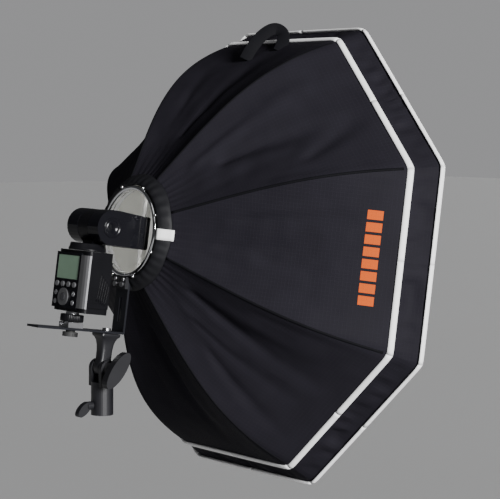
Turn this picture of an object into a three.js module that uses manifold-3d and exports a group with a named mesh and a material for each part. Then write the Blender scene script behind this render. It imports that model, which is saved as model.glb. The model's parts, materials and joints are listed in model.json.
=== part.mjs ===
// Studio softbox: an eight-rib folding canopy on a chrome speed ring, an L-bracket with a tilting
// stand adapter, and the hot-shoe flash that lights it. Millimetres, +Z up, +X the way the light faces.
// The origin is the centre of the stand socket's mouth. The head group is tilted nose-down, and its
// own axes are X forward along the optical axis, Y left and Z up, from the centre of the speed ring.
import * as THREE from 'three';
import { mergeVertices } from 'three/addons/utils/BufferGeometryUtils.js';
import Module from 'manifold-3d';

const wasm = await Module();
wasm.setup();

// Driving dimensions, in millimetres and degrees
const HEAD_TILT = 7.68;
const RING_CENTRE = [47.3, 0, 252];
const PIVOT_HEIGHT = 65;
const RIB_COUNT = 8;
const HALF_STEP = Math.PI / RIB_COUNT;
const RIB_HINGE = { radius: 68.5, ahead: 4 };
const RIM = { radius: 330, ahead: 229.5 };
const LIP = { radius: 352, ahead: 267.6 };
const CANOPY_START = 0.035;
const RIM_STATION = 0.88;
const FABRIC = 2.2;
const FABRIC_SAG = 12;
const RIB = { width: 6, depth: 5, below: 3.8, eye: 3.2, pin: 1.5 };
const RING = { inner: 58, outer: 61.8, back: -5, front: 8 };
const GAP = 0.3;
const PLATE = { top: -140, thick: 3, half: 14, back: -142, front: -1 };
const SHOE_AHEAD = -81;
const SOCKET = { radius: 8.2, depth: 42, outer: 15.5, top: 46 };
const FLASH = { back: -90, front: -48, half: 38, bottom: -118, top: -34 };
const HEAD_PIVOT = { ahead: -57.6, up: 1.3 };
const SWIVEL_AHEAD = -69;

// Finishes
const finish = (color, roughness, metalness) => ({ color, roughness, metalness });
const FINISH = {
  ripstop: finish(0x1b1b1f, 0.62, 0),
  diffuser: finish(0xf1f1ee, 0.9, 0),
  webbing: finish(0x121214, 0.85, 0),
  chrome: finish(0xd8d8dc, 0.12, 1),
  steel: finish(0x9a9a9e, 0.3, 1),
  anodised: finish(0x23242a, 0.38, 0.8),
  casting: finish(0x26272b, 0.5, 0.3),
  plastic: finish(0x17171a, 0.48, 0),
  key: finish(0x2c2c30, 0.55, 0),
  silver: finish(0xb9babd, 0.3, 0.8),
  screen: finish(0x46584c, 0.15, 0),
  lens: finish(0xdfe4e6, 0.1, 0),
  cell: finish(0x3d4a57, 0.4, 0.2),
};

const model = new THREE.Group();
const head = new THREE.Group();
head.position.set(...RING_CENTRE);
head.rotation.y = THREE.MathUtils.degToRad(HEAD_TILT);
model.add(head);

// Solid helpers
function toSolid(geometry) {
  const bare = geometry.clone();
  bare.deleteAttribute('normal');
  bare.deleteAttribute('uv');
  const merged = mergeVertices(bare, 1e-4);
  return new wasm.Manifold(new wasm.Mesh({
    numProp: 3,
    vertProperties: new Float32Array(merged.attributes.position.array),
    triVerts: new Uint32Array(merged.index.array),
  }));
}

function toGeometry(solid) {
  const mesh = solid.getMesh();
  const geometry = new THREE.BufferGeometry();
  geometry.setAttribute('position', new THREE.BufferAttribute(mesh.vertProperties, 3));
  geometry.setIndex(new THREE.BufferAttribute(mesh.triVerts, 1));
  return geometry;
}

const join = (first, ...others) => toGeometry(
  others.reduce((sum, other) => sum.add(toSolid(other)), toSolid(first)));
const cut = (first, ...others) => toGeometry(
  others.reduce((rest, other) => rest.subtract(toSolid(other)), toSolid(first)));

// A box between two opposite corners
function block(x0, x1, y0, y1, z0, z1) {
  const geometry = new THREE.BoxGeometry(x1 - x0, y1 - y0, z1 - z0);
  return geometry.translate((x0 + x1) / 2, (y0 + y1) / 2, (z0 + z1) / 2);
}

// A rod of one radius along a row axis, from one end to the other
function rod(axis, radius, from, to, a, b, sides = 20) {
  const geometry = new THREE.CylinderGeometry(radius, radius, to - from, sides);
  const middle = (from + to) / 2;
  if (axis === 'x') return geometry.rotateZ(-Math.PI / 2).translate(middle, a, b);
  if (axis === 'y') return geometry.translate(a, middle, b);
  return geometry.rotateX(Math.PI / 2).translate(a, b, middle);
}

// A closed profile of [radius, along] points turned about the X axis
function turned(profile, sides) {
  const points = [...profile, profile[0]].map(([radius, along]) => new THREE.Vector2(radius, along));
  return new THREE.LatheGeometry(points, sides).rotateZ(-Math.PI / 2);
}

// An outline of [x, z] points made thick along Y
function slab(outline, y0, y1) {
  const shape = new THREE.Shape(outline.map(([x, z]) => new THREE.Vector2(x, z)));
  const geometry = new THREE.ExtrudeGeometry(shape, { depth: y1 - y0, bevelEnabled: false });
  return geometry.rotateX(Math.PI / 2).translate(0, y1, 0);
}

// A rounded rectangle in X and Y, made tall along Z
function column(x0, x1, y0, y1, z0, z1, radius) {
  const shape = new THREE.Shape();
  const corners = [[x1, y1, 0], [x0, y1, 1], [x0, y0, 2], [x1, y0, 3]];
  corners.forEach(([x, y, quarter]) => {
    const cx = x + (x === x0 ? radius : -radius);
    const cy = y + (y === y0 ? radius : -radius);
    shape.absarc(cx, cy, radius, quarter * Math.PI / 2, (quarter + 1) * Math.PI / 2, false);
  });
  const settings = { depth: z1 - z0, bevelEnabled: false, curveSegments: 4 };
  return new THREE.ExtrudeGeometry(shape, settings).translate(0, 0, z0);
}

function add(parent, name, geometry, look) {
  const material = new THREE.MeshStandardMaterial(FINISH[look]);
  const mesh = new THREE.Mesh(geometry, material);
  mesh.name = name;
  parent.add(mesh);
}

// The line of a rib: a bowed curve from the ring to the rim, then straight on through the lip
const bow = new THREE.CubicBezierCurve(
  new THREE.Vector2(69, 3), new THREE.Vector2(163.5, 56.3),
  new THREE.Vector2(264.1, 88.5), new THREE.Vector2(RIM.radius, RIM.ahead));

function ribPoint(s) {
  if (s <= RIM_STATION) return bow.getPoint(s / RIM_STATION);
  const share = (s - RIM_STATION) / (1 - RIM_STATION);
  return new THREE.Vector2(RIM.radius, RIM.ahead).lerp(new THREE.Vector2(LIP.radius, LIP.ahead), share);
}

// The unit normal of the rib line that points into the canopy, as [radius, ahead]
function inwardNormal(s) {
  const step = 0.004;
  const along = ribPoint(Math.min(s + step, 1)).sub(ribPoint(Math.max(s - step, 0))).normalize();
  return new THREE.Vector2(-along.y, along.x);
}

const stations = (count, from = CANOPY_START, to = 1) =>
  Array.from({ length: count }, (_, i) => from + (to - from) * i / (count - 1));

// How far the fabric sags in from the straight line between two ribs, at the middle of the gore
const sag = (s) => FABRIC_SAG * Math.sin(Math.PI * Math.min(s / RIM_STATION, 1)) ** 0.8;

// One half of a gore: a thin closed shell from its rib to the gore's middle line
function halfGore(side) {
  const columns = [0, 0.5, 1];
  const rows = stations(11);
  const points = { outer: [], inner: [] };
  rows.forEach((s) => columns.forEach((v) => {
    const line = ribPoint(s);
    const edge = line.x * Math.sin(HALF_STEP) * v;
    const across = edge * Math.cos(HALF_STEP);
    const height = line.x - edge * Math.sin(HALF_STEP);
    const angle = Math.atan2(across, height);
    const normal = inwardNormal(s);
    const depth = sag(s) * v * (2 - v);
    ['outer', 'inner'].forEach((skin, k) => {
      const inward = depth + (k - 0.5) * FABRIC;
      const radius = Math.hypot(across, height) + normal.x * inward;
      const shift = v === 0 ? GAP / 2 : v === 1 ? -GAP / 2 : 0;
      const y = -side * (radius * Math.sin(angle) + shift * Math.cos(angle));
      const z = radius * Math.cos(angle) - shift * Math.sin(angle);
      points[skin].push([line.y + normal.y * inward, y, z]);
    });
  }));
  return closedShell(points.outer, points.inner, rows.length, columns.length);
}

// Joins two skins of rows by columns points into one closed shell that faces out
function closedShell(outer, inner, rows, columns) {
  const offset = outer.length;
  const index = [];
  const quad = (a, b, c, d) => index.push(a, b, c, a, c, d);
  for (let i = 0; i < rows - 1; i += 1) {
    for (let j = 0; j < columns - 1; j += 1) {
      const p = i * columns + j;
      quad(p, p + 1, p + columns + 1, p + columns);
      quad(offset + p, offset + p + columns, offset + p + columns + 1, offset + p + 1);
    }
    const first = i * columns;
    const last = first + columns - 1;
    quad(first, first + columns, offset + first + columns, offset + first);
    quad(last, offset + last, offset + last + columns, last + columns);
  }
  for (let j = 0; j < columns - 1; j += 1) {
    const far = (rows - 1) * columns + j;
    quad(j, offset + j, offset + j + 1, j + 1);
    quad(far, far + 1, offset + far + 1, offset + far);
  }
  const geometry = new THREE.BufferGeometry();
  geometry.setAttribute('position', new THREE.Float32BufferAttribute([...outer, ...inner].flat(), 3));
  geometry.setIndex(index);
  if (signedVolume(geometry) < 0) geometry.setIndex(index.reverse());
  return geometry;
}

function signedVolume(geometry) {
  const { array } = geometry.index;
  const corner = (k) => new THREE.Vector3().fromBufferAttribute(geometry.attributes.position, array[k]);
  let volume = 0;
  for (let k = 0; k < array.length; k += 3) volume += corner(k).dot(corner(k + 1).cross(corner(k + 2))) / 6;
  return volume;
}

// Canopy: ribs with hinge eyes, half gores and the white front
function ribGeometry() {
  const rows = stations(16, 0.045, 0.975);
  const offset = (s, depth) => ribPoint(s).addScaledVector(inwardNormal(s), depth);
  const outer = rows.map((s) => offset(s, RIB.below));
  const inner = rows.map((s) => offset(s, RIB.below + RIB.depth)).reverse();
  const eyeSide = RIB.depth / 2 - 0.2;
  const root = [[RIB_HINGE.ahead + eyeSide, RIB_HINGE.radius - 1], [RIB_HINGE.ahead, RIB_HINGE.radius + eyeSide]];
  const outline = [...root.slice(1), ...outer.map((p) => [p.y, p.x]), ...inner.map((p) => [p.y, p.x]), root[0]];
  const half = RIB.width / 2;
  const eye = rod('y', RIB.eye, -half, half, RIB_HINGE.ahead, RIB_HINGE.radius, 16);
  const pin = rod('y', RIB.pin, -half - 3, half + 3, RIB_HINGE.ahead, RIB_HINGE.radius, 12);
  return join(slab(outline, -half, half), eye, pin);
}

// The removable white front, recessed inside the lip
function frontGeometry() {
  const { radius, ahead, thick } = { radius: 319, ahead: 237, thick: 2 };
  const disc = new THREE.CylinderGeometry(radius, radius, thick, RIB_COUNT);
  return disc.rotateY(HALF_STEP).rotateZ(-Math.PI / 2).translate(ahead, 0, 0);
}

function canopy() {
  for (let k = 0; k < RIB_COUNT; k += 1) {
    const sector = new THREE.Group();
    sector.rotation.x = (2 * k + 1) * HALF_STEP;
    head.add(sector);
    add(sector, `rib_${k + 1}`, ribGeometry(), 'steel');
    add(sector, `gore_${k + 1}_before`, halfGore(-1), 'ripstop');
    add(sector, `gore_${k + 1}_after`, halfGore(1), 'ripstop');
  }
  add(head, 'diffuser', frontGeometry(), 'diffuser');
}

// Speed ring, the carrier that the ribs hinge in, and the elastic collar over their roots
function hub() {
  const { inner, outer, back, front } = RING;
  const lip = [[inner, back + 1], [(inner + outer) / 2, back], [outer, back + 1], [outer, front], [inner, front]];
  add(head, 'hub_ring', turned(lip, 56), 'chrome');

  const band = { inner: outer + GAP, outer: 64.6, back: -2, front: 9.5 };
  const lug = { inside: 3.6, outside: 6.2, from: 63.4, to: 72.5, back: -0.4, front: 8.2 };
  const parts = [];
  const holes = [];
  for (let k = 0; k < RIB_COUNT; k += 1) {
    const turn = (2 * k + 1) * HALF_STEP;
    [-1, 1].forEach((side) => {
      const [y0, y1] = [side * lug.inside, side * lug.outside].sort((a, b) => a - b);
      parts.push(block(lug.back, lug.front, y0, y1, lug.from, lug.to).rotateX(turn));
    });
    const reach = lug.outside + 1;
    const hole = rod('y', RIB.pin + 0.4, -reach, reach, RIB_HINGE.ahead, RIB_HINGE.radius, 12);
    holes.push(hole.rotateX(turn));
  }
  const boss = block(-0.7, 2.6, -13, 13, -80, -63.2);
  const ring = turned([[band.inner, band.back], [band.outer, band.back], [band.outer, band.front],
    [band.inner, band.front]], 56);
  const bore = rod('x', outer + GAP, band.back - 2, band.front + 2, 0, 0, 56);
  const screwHoles = [-1, 1].map((side) => rod('x', 2.4, -3, 2.0, side * 8, -74, 12));
  add(head, 'rib_carrier', cut(join(ring, boss, ...parts), bore, ...holes, ...screwHoles), 'plastic');

  const skirt = turned([[62.5, -4.2], [73, -3.2], [82, 4.6], [81.3, 5.8], [72.6, -1.8], [62.5, -2.8]], 40);
  const notch = block(-12, 10, -14.6, 14.6, -90, -60);
  add(head, 'collar', cut(skirt, notch), 'webbing');
}

// The bent L-bracket, its clamp on the ring and its fixings
function bracket() {
  const { top, thick, half, back, front } = PLATE;
  const bottom = top - thick;
  const plate = block(back, front, -half, half, bottom, top);
  const arm = block(front - thick, front, -half, half, top - 1, -65.2);
  const shoeSlot = block(-134, -68, -3.4, 3.4, bottom - 2, top + 2);
  const armSlot = block(-9, 3, -3.4, 3.4, -126, -92);
  const neckHole = rod('z', 3.4, bottom - 2, top + 2, -22, 0, 16);
  const screwHoles = [-1, 1].map((side) => rod('x', 2.4, -8, 3, side * 8, -74, 12));
  add(head, 'l_bracket', cut(join(plate, arm), shoeSlot, armSlot, neckHole, ...screwHoles), 'anodised');
  const clampHoles = [-1, 1].map((side) => rod('x', 2.4, -14, 0, side * 8, -74, 12));
  add(head, 'ring_clamp', cut(block(-10, -4 - GAP, -15, 15, -80, -63), ...clampHoles), 'casting');
  [['left', 1], ['right', -1]].forEach(([name, side]) => {
    const screw = join(rod('x', 3.6, -13, -10 - GAP, side * 8, -74, 12), rod('x', 2, -11, 1.4, side * 8, -74, 12));
    add(head, `clamp_screw_${name}`, screw, 'steel');
  });
  const neckScrew = join(rod('z', 6, top + GAP, top + 3.4, -22, 0), rod('z', 3, -158, top + 1, -22, 0));
  add(head, 'neck_screw', neckScrew, 'steel');
}

// The stand adapter, the neck that tilts in it and its two knobs
function standAdapter() {
  const reach = SOCKET.outer;
  const ears = [-1, 1].map((side) => {
    const [y0, y1] = [side * 9, side * reach].sort((a, b) => a - b);
    return join(block(-12, 12, y0, y1, SOCKET.top - 6, PIVOT_HEIGHT),
      rod('y', 12, y0, y1, 0, PIVOT_HEIGHT, 28));
  });
  const tube = rod('z', reach, 0, SOCKET.top, 0, 0, 36);
  const socket = rod('z', SOCKET.radius, -1, SOCKET.depth, 0, 0, 32);
  const axle = rod('y', 4.4, -reach - 2, reach + 2, 0, PIVOT_HEIGHT, 16);
  const clampHole = rod('x', 3.4, -reach - 2, -4, 0, 14, 16);
  add(model, 'adapter_body', cut(join(tube, ...ears), socket, axle, clampHole), 'casting');

  const wing = new THREE.CylinderGeometry(6.5, 6.5, 9, 24).scale(13 / 6.5, 1, 1);
  wing.rotateY(THREE.MathUtils.degToRad(-42)).translate(-31, 0, 9.5);
  const clampKnob = join(rod('x', 3, -22, -10, 0, 14, 12), rod('x', 6, -26, -17, 0, 14, 20), wing);
  add(model, 'clamp_knob', clampKnob, 'plastic');

  const paddle = new THREE.CylinderGeometry(11, 11, 12, 28).scale(29 / 11, 1, 1);
  paddle.rotateY(THREE.MathUtils.degToRad(-52)).translate(0, -35, PIVOT_HEIGHT);
  const boss = rod('y', 9, -30, -reach - GAP, 0, PIVOT_HEIGHT, 20);
  const bolt = rod('y', 4, -20, reach + 3, 0, PIVOT_HEIGHT, 16);
  add(model, 'tilt_knob', join(paddle, boss, bolt), 'plastic');

  const pivot = { ahead: -21.88, up: -191.64 };
  const tongue = rod('y', 11.5, -8.5, 8.5, pivot.ahead, pivot.up, 28);
  const stem = block(pivot.ahead - 9, pivot.ahead + 9, -8.5, 8.5, pivot.up, -150);
  const underPlate = PLATE.top - PLATE.thick - GAP;
  const flange = block(pivot.ahead - 16, pivot.ahead + 16, -14, 14, -151, underPlate);
  const bore = rod('y', 4.4, -12, 12, pivot.ahead, pivot.up, 16);
  const screwHole = rod('z', 3.4, -160, -140, -22, 0, 16);
  add(head, 'neck_block', cut(join(tongue, stem, flange), bore, screwHole), 'casting');
}

// The cold shoe on the plate and its thumb knob
function coldShoe() {
  const x = SHOE_AHEAD;
  const base = block(x - 12, x + 12, -12, 12, PLATE.top + GAP, -137.2);
  const rails = [-1, 1].flatMap((side) => {
    const [w0, w1] = [side * 9.6, side * 12].sort((a, b) => a - b);
    const [l0, l1] = [side * 6.8, side * 12].sort((a, b) => a - b);
    return [block(x - 12, x + 12, w0, w1, -138, -132.6), block(x - 12, x + 12, l0, l1, -134.2, -132.6)];
  });
  const stud = rod('z', 3, -149, -138, x, 0, 16);
  add(head, 'cold_shoe', join(base, ...rails, stud), 'steel');
  const knob = cut(join(rod('z', 10.5, -152, -146, x, 0, 24), rod('z', 6.5, -147, -143 - GAP, x, 0, 20)),
    rod('z', 3.3, -150, -140, x, 0, 16));
  add(head, 'shoe_knob', knob, 'plastic');
}

// The flash body: case, cells and door, foot and lock, rear panel with screen, keys and dial
function flashBody() {
  const { back, front, half, bottom, top } = FLASH;
  const bay = { x0: -85, x1: -53, y1: -3, z0: -108, z1: -48 };
  const shell = column(back, front, -half, half, bottom, top, 7);
  const hollow = block(bay.x0, bay.x1, -half - 1, bay.y1, bay.z0, bay.z1);
  add(head, 'flash_case', cut(shell, hollow), 'plastic');
  add(head, 'battery_pack', block(-84, -54, -36, -4, -107, -50), 'cell');
  const door = block(-86, -52, -half - 2.6, -half - GAP, -110, -46);
  const grooves = Array.from({ length: 6 }, (_, i) =>
    block(-83, -55, -half - 4, -half - 2, -104 + i * 4, -102.4 + i * 4));
  add(head, 'battery_door', cut(door, ...grooves), 'plastic');
  const trim = [[-92.9, -24.3], [-92.9, -33], [-91.5, -37.3], [-89, -39.8], [-86.4, -40.3],
    [-86.4, -38.3], [-88.4, -36.6], [-90.1, -33.5], [-90.3, -30], [-90.3, -24.3]];
  const trimShape = new THREE.Shape(trim.map(([x, y]) => new THREE.Vector2(x, y)));
  const band = new THREE.ExtrudeGeometry(trimShape, { depth: 72, bevelEnabled: false });
  add(head, 'side_trim', band.translate(0, 0, -112), 'silver');

  const footPlate = block(SHOE_AHEAD - 10, SHOE_AHEAD + 10, -9.2, 9.2, -136.8, -134.6);
  const footStem = block(SHOE_AHEAD - 8, SHOE_AHEAD + 8, -6.2, 6.2, -135, -132.1);
  const footPost = rod('z', 9, -132.3, bottom - GAP, SHOE_AHEAD, 0, 24);
  add(head, 'flash_foot', join(footPlate, footStem, footPost), 'steel');
  const wheel = cut(rod('z', 16, -131.8, -121.5, SHOE_AHEAD, 0, 28), rod('z', 9.4, -134, -119, SHOE_AHEAD, 0, 28));
  add(head, 'foot_lock', wheel, 'plastic');

  const keys = [-15, -1, 13, 27].map((y) => ({ y, z: -81.5 }));
  const dial = { y: 8, z: -99, inner: 5.8, outer: 12 };
  const face = back - GAP;
  const screen = block(face - 6, face + 6, -20, 32, -74.5, -41.5);
  const keyHoles = keys.map(({ y, z }) => rod('x', 4, face - 6, face + 6, y, z, 16));
  const dialHole = rod('x', dial.inner, face - 6, face + 6, dial.y, dial.z, 20);
  const bezel = block(face - 2.6, face, -24, 36, -114, -38);
  add(head, 'rear_panel', cut(bezel, screen, ...keyHoles, dialHole), 'plastic');
  add(head, 'lcd_window', block(face - 2, face - GAP, -19.7, 31.7, -74.2, -41.8), 'screen');
  keys.forEach(({ y, z }, i) => {
    add(head, `key_${i + 1}`, rod('x', 3.6, face - 4.4, face - 1.2, y, z, 16), 'key');
  });
  const wheelFace = face - 2.6 - GAP;
  add(head, 'dial_ring', cut(rod('x', dial.outer, wheelFace - 2, wheelFace, dial.y, dial.z, 28),
    rod('x', dial.inner, wheelFace - 4, wheelFace + 2, dial.y, dial.z, 20)), 'silver');
  add(head, 'dial_button', rod('x', 5.3, wheelFace - 2.6, face - 1.2, dial.y, dial.z, 20), 'key');
}

// The flash head: neck, shell, reflector and tube, lens and wide panel
function flashHead() {
  const { ahead, up } = HEAD_PIVOT;
  const disc = rod('z', 13, FLASH.top + GAP, -27.5, SWIVEL_AHEAD, 0, 28);
  const stem = block(-70, -54, -12, 12, -28.5, up);
  const barrel = rod('y', 23.6, -12, 12, ahead, up, 40);
  const pins = rod('y', 3.5, -17, 17, ahead, up, 16);
  add(head, 'swivel_neck', join(disc, stem, barrel, pins), 'plastic');

  const shape = new THREE.Shape();
  shape.moveTo(3, 21);
  shape.lineTo(ahead + 8, up + 24);
  shape.absarc(ahead, up, 24, Math.PI / 2 - 0.34, Math.PI * 1.5, false);
  shape.lineTo(3, -22.7);
  const side = shape.getPoints(8).map((p) => [p.x, p.y]);
  const solid = slab(side, -FLASH.half, FLASH.half);
  const slot = rod('y', 24.6, -12.4, 12.4, ahead, up, 40);
  const lampBay = block(-30, 6, -33, 33, -18, 15);
  const panelSlot = block(-28, 6, -30.6, 30.6, 16.2, 18.2);
  const pinHole = rod('y', 3.9, -17.5, 17.5, ahead, up, 16);
  add(head, 'head_shell', cut(solid, slot, lampBay, panelSlot, pinHole), 'plastic');

  const bowl = block(-28, -2, -32, 32, -17, 14);
  const dish = new THREE.CylinderGeometry(13.5, 13.5, 60, 24).scale(1.6, 1, 1).translate(-3.5, 0, -1.5);
  add(head, 'reflector', cut(bowl, dish), 'chrome');
  add(head, 'flash_tube', rod('y', 2.6, -28, 28, -16, -1.5, 16), 'lens');
  add(head, 'head_lens', block(-1.6, 2.6, -32.6, 32.6, -17.6, 14.6), 'lens');
  add(head, 'wide_panel', join(block(-27, 2, -30, 30, 16.6, 17.8), block(1.5, 4, -8, 8, 16.6, 17.8)), 'lens');
}

// The webbing loop at the middle of the top gore, just behind the rim
function strap() {
  const outer = [[165, 276.5], [176, 297], [190, 314], [206, 325], [217, 327.5], [226, 322], [229, 312],
    [225.5, 307.5]];
  const inner = [[223.7, 308.3], [226.9, 312.2], [224.3, 320.5], [216.5, 325.4], [206.8, 323],
    [191.4, 312.4], [177.8, 296], [167.2, 276.6]];
  add(head, 'bundle_strap', slab([...outer, ...inner], -9.5, 9.5), 'webbing');
}

canopy();
hub();
bracket();
standAdapter();
coldShoe();
flashBody();
flashHead();
strap();

export default model;
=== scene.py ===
"""Studio softbox: the looks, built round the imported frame, in metres and in the frame's own axes."""
import json
import logging
import math
import random
from dataclasses import dataclass, field
from enum import Enum
from typing import Any, Callable, Iterable, Sequence

import bmesh
import bpy
from mathutils import Matrix, Vector, noise


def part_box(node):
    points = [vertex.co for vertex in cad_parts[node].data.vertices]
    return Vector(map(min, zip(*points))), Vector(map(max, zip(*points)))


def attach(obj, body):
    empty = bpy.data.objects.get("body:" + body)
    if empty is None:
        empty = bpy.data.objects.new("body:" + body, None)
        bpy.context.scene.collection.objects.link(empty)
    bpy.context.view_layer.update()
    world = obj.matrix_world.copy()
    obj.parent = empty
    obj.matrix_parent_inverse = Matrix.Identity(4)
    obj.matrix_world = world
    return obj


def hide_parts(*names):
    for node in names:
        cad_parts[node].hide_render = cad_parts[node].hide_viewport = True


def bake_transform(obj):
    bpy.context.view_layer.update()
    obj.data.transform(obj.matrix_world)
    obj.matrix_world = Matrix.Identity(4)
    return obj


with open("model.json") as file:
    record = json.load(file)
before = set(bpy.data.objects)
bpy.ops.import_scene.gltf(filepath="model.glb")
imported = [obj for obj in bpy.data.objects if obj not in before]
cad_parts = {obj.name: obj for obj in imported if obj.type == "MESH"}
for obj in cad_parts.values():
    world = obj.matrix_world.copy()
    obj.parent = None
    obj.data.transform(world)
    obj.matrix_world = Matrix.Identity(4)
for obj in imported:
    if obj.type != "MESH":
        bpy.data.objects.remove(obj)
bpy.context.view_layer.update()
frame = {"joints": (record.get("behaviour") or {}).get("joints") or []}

LOG = logging.getLogger("softbox")
MM = 0.001
RIBS = 8
HALF_STEP = math.pi / RIBS
Point = tuple[float, float]
Colour = tuple[float, float, float]
Placer = Callable[[float, float, float], Vector]
SHOE_AHEAD = -81.0


class Side(Enum):
    """The two half gores that hang from one rib."""

    BEFORE = -1
    AFTER = 1

    @property
    def word(self) -> str:
        """The word that the frame's node and body names use."""
        return self.name.lower()


class Op(Enum):
    """The Math operations that the finishes use, by Blender's names."""

    ADD = "ADD"
    SUBTRACT = "SUBTRACT"
    MULTIPLY = "MULTIPLY"
    LESS = "LESS_THAN"
    MORE = "GREATER_THAN"
    FRACTION = "FRACT"
    ABSOLUTE = "ABSOLUTE"
    SINE = "SINE"


# ---------------------------------------------------------------- shader expressions


class Shade:
    """A shader socket that turns Python arithmetic into Math nodes."""

    def __init__(self, bench: "Bench", socket: bpy.types.NodeSocket) -> None:
        """Wrap a socket.

        Args:
            bench: the node bench that the socket belongs to.
            socket: an output socket.
        """
        self.bench = bench
        self.socket = socket

    def _math(self, op: Op, first: Any, second: Any = None) -> "Shade":
        """Add one Math node.

        Args:
            op: the operation.
            first: the first value or socket.
            second: the second value or socket, if the operation has one.

        Returns:
            The node's result.
        """
        values = {0: first} if second is None else {0: first, 1: second}
        return self.bench.node("ShaderNodeMath", {"operation": op.value}, values)

    def __add__(self, other: Any) -> "Shade":
        """Sum."""
        return self._math(Op.ADD, self, other)

    __radd__ = __add__

    def __sub__(self, other: Any) -> "Shade":
        """Difference."""
        return self._math(Op.SUBTRACT, self, other)

    def __rsub__(self, other: Any) -> "Shade":
        """Difference, reflected."""
        return self._math(Op.SUBTRACT, other, self)

    def __mul__(self, other: Any) -> "Shade":
        """Product."""
        return self._math(Op.MULTIPLY, self, other)

    __rmul__ = __mul__

    def __lt__(self, other: Any) -> "Shade":
        """One where this is less than the other."""
        return self._math(Op.LESS, self, other)

    def __gt__(self, other: Any) -> "Shade":
        """One where this is more than the other."""
        return self._math(Op.MORE, self, other)

    def __abs__(self) -> "Shade":
        """Size without sign."""
        return self._math(Op.ABSOLUTE, self)

    def fraction(self) -> "Shade":
        """The part after the decimal point."""
        return self._math(Op.FRACTION, self)

    def sine(self) -> "Shade":
        """The sine of this angle."""
        return self._math(Op.SINE, self)


class Bench:
    """The node tree of one material, with one method for every kind of node."""

    def __init__(self, name: str) -> None:
        """Start a material with an empty Principled surface.

        Args:
            name: the material's name.
        """
        self.material = bpy.data.materials.new(name)
        self.material.use_nodes = True
        self.tree = self.material.node_tree
        self.tree.nodes.clear()
        self.surface = self.tree.nodes.new("ShaderNodeBsdfPrincipled")
        output = self.tree.nodes.new("ShaderNodeOutputMaterial")
        self.tree.links.new(self.surface.outputs[0], output.inputs["Surface"])

    def put(self, socket: bpy.types.NodeSocket, value: Any) -> None:
        """Set or link one input socket.

        Args:
            socket: the input.
            value: a number, a colour, a vector or a Shade.
        """
        if isinstance(value, Shade):
            self.tree.links.new(value.socket, socket)
        elif isinstance(value, (tuple, list)) and len(value) == 3 and len(socket.default_value) == 4:
            socket.default_value = (*value, 1.0)
        else:
            socket.default_value = value

    def node(self, kind: str, settings: dict[str, Any] | None = None,
             values: dict[Any, Any] | None = None, output: Any = 0) -> Shade:
        """Add any node.

        Args:
            kind: the node's type name.
            settings: properties, set before the sockets.
            values: input values or links, by socket name or index.
            output: the output's name or index.

        Returns:
            The chosen output.
        """
        made = self.tree.nodes.new(kind)
        for key, value in (settings or {}).items():
            if key == "stops":
                ramp = made.color_ramp
                for stop, (place, tone) in zip(ramp.elements, value):
                    stop.position, stop.color = place, (*tone, 1.0)
            else:
                setattr(made, key, value)
        for key, value in (values or {}).items():
            self.put(made.inputs[key], value)
        return Shade(self, made.outputs[output])

    def place(self) -> Shade:
        """The position on the piece, in metres."""
        return self.node("ShaderNodeTexCoord", output="Object")

    def cloth(self) -> tuple[Shade, Shade]:
        """The place on the cloth: across and along its threads, in metres."""
        spot = self.node("ShaderNodeAttribute", {"attribute_name": "cloth"}, output="Vector")
        x = self.node("ShaderNodeSeparateXYZ", None, {0: spot}, "X")
        y = self.node("ShaderNodeSeparateXYZ", None, {0: spot}, "Y")
        return x, y

    def grain(self, scale: float, detail: float = 2.0, rough: float = 0.5) -> Shade:
        """Cloudy noise from 0 to 1 over the piece.

        Args:
            scale: cells per metre.
            detail: octaves.
            rough: share of the finer octaves.

        Returns:
            The noise.
        """
        values = {"Vector": self.place(), "Scale": scale, "Detail": detail, "Roughness": rough}
        return self.node("ShaderNodeTexNoise", None, values, "Fac")

    def blend(self, share: Any, low: Any, high: Any) -> Shade:
        """Mix two colours.

        Args:
            share: 0 for the first, 1 for the second.
            low: the first colour.
            high: the second colour.

        Returns:
            The mixed colour.
        """
        made = self.tree.nodes.new("ShaderNodeMix")
        made.data_type = "RGBA"
        self.put(made.inputs[0], share)
        self.put(made.inputs[6], low)
        self.put(made.inputs[7], high)
        return Shade(self, made.outputs[2])

    def bump(self, height: Any, distance: float, strength: float = 1.0) -> Shade:
        """A normal bent by a height.

        Args:
            height: the height, from 0 to 1.
            distance: the depth of a height of 1, in metres.
            strength: the share of the effect.

        Returns:
            The normal.
        """
        values = {"Height": height, "Distance": distance, "Strength": strength}
        return self.node("ShaderNodeBump", None, values, "Normal")

    def let_through(self, share: float, colour: Colour) -> None:
        """Let soft light through the surface.

        Args:
            share: the share of the light that passes.
            colour: the light's tint.
        """
        output = next(n for n in self.tree.nodes if n.type == "OUTPUT_MATERIAL")
        mix = self.tree.nodes.new("ShaderNodeMixShader")
        mix.inputs[0].default_value = share
        soft = self.tree.nodes.new("ShaderNodeBsdfTranslucent")
        self.put(soft.inputs["Color"], colour)
        self.tree.links.new(self.surface.outputs[0], mix.inputs[1])
        self.tree.links.new(soft.outputs[0], mix.inputs[2])
        self.tree.links.new(mix.outputs[0], output.inputs["Surface"])

    def finish(self, **sockets: Any) -> bpy.types.Material:
        """Fill the Principled surface.

        Args:
            sockets: values by socket name, with underscores for spaces.

        Returns:
            The finished material.
        """
        for key, value in sockets.items():
            self.put(self.surface.inputs[key.replace("_", " ")], value)
        return self.material


# ---------------------------------------------------------------- finishes


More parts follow.
